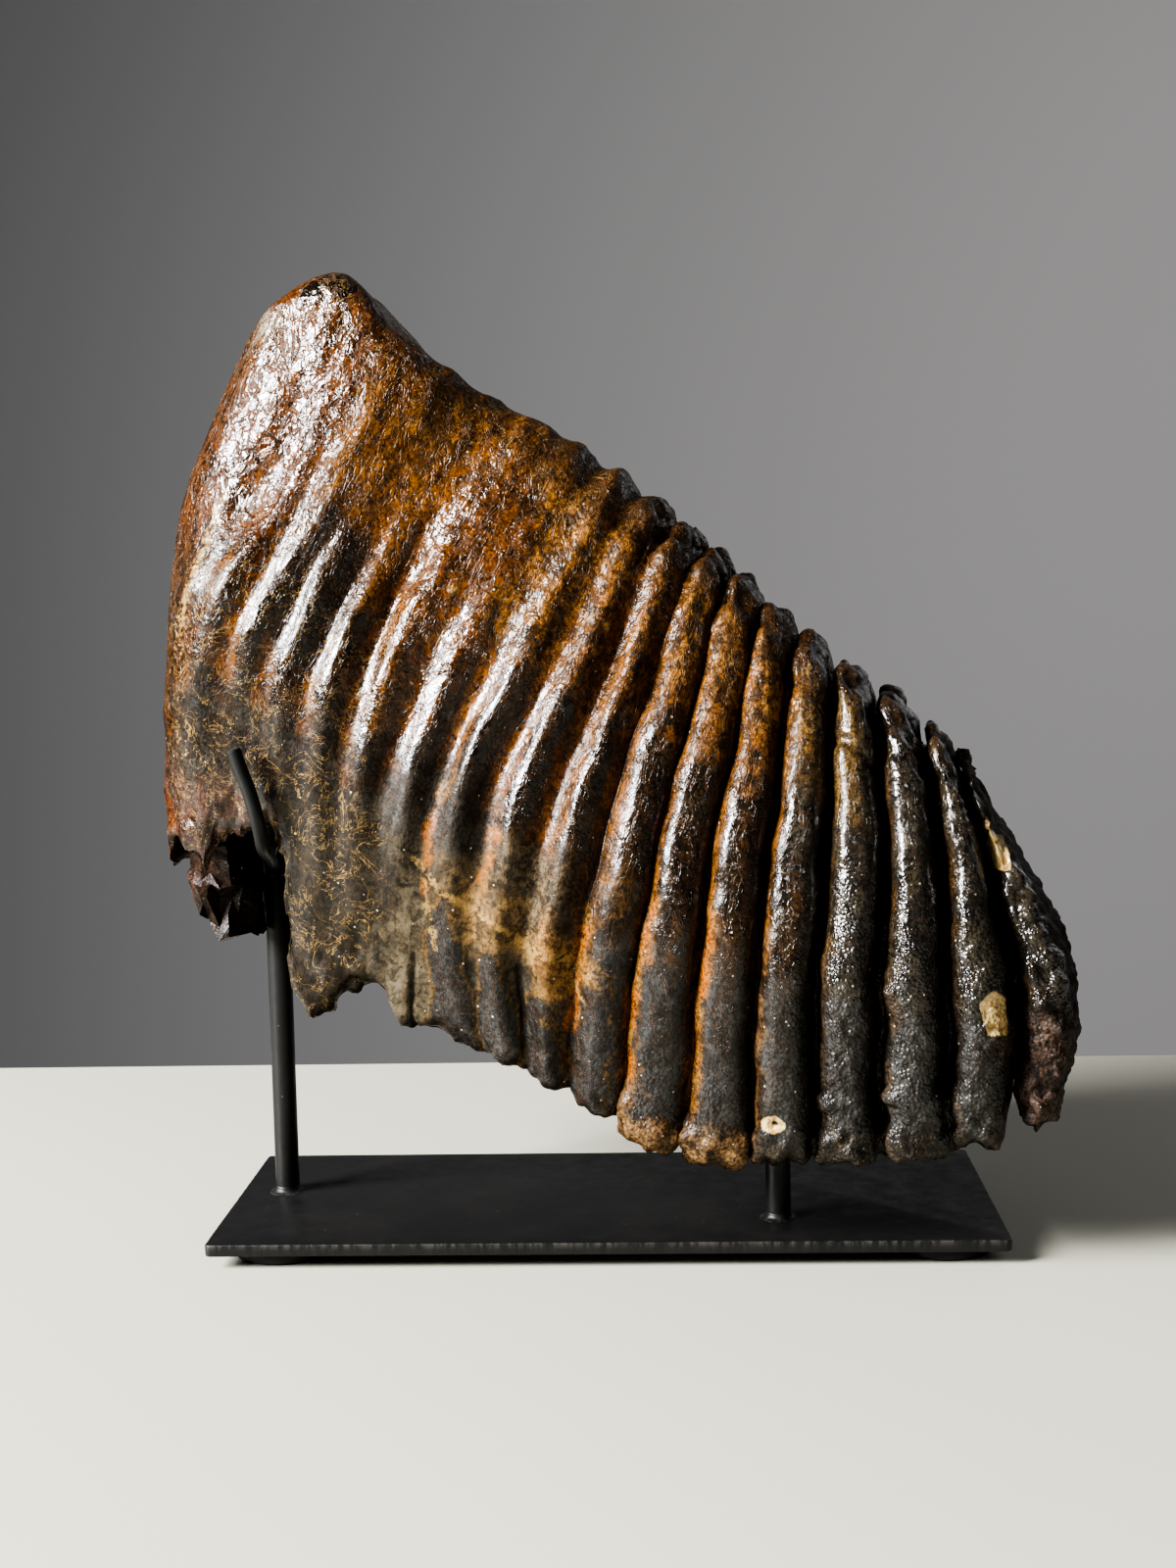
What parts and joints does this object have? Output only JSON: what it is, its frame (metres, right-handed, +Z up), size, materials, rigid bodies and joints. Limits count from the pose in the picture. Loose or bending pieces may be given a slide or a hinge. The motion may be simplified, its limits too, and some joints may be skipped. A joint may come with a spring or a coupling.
{
  "type": "fossil mammoth tooth",
  "caption": "Ridged fossil cheek tooth of a mammoth with a worn chewing surface and broken roots, resting in a fork and on a short post of a black steel stand with rubber feet.",
  "frame": {"origin": "centre of the bounding box at the level of the feet's undersides", "axes": "+Z up, +X towards the rear plates of the tooth along the base plate, -Y towards the side that is shown"},
  "size_m": [0.2318, 0.1077, 0.247],
  "materials": {
    "fossil_enamel": "varnished rust-brown to black enamel, glossy",
    "black_steel": "satin black",
    "foot_rubber": "matte black"
  },
  "bodies": {
    "root": {"tooth": "fossil_enamel", "base_plate": "black_steel", "left_post": "black_steel", "right_post": "black_steel", "front_prong": "black_steel", "back_prong": "black_steel", "foot_front_left": "foot_rubber", "foot_front_right": "foot_rubber", "foot_back_left": "foot_rubber", "foot_back_right": "foot_rubber"}
  },
  "joints": []
}
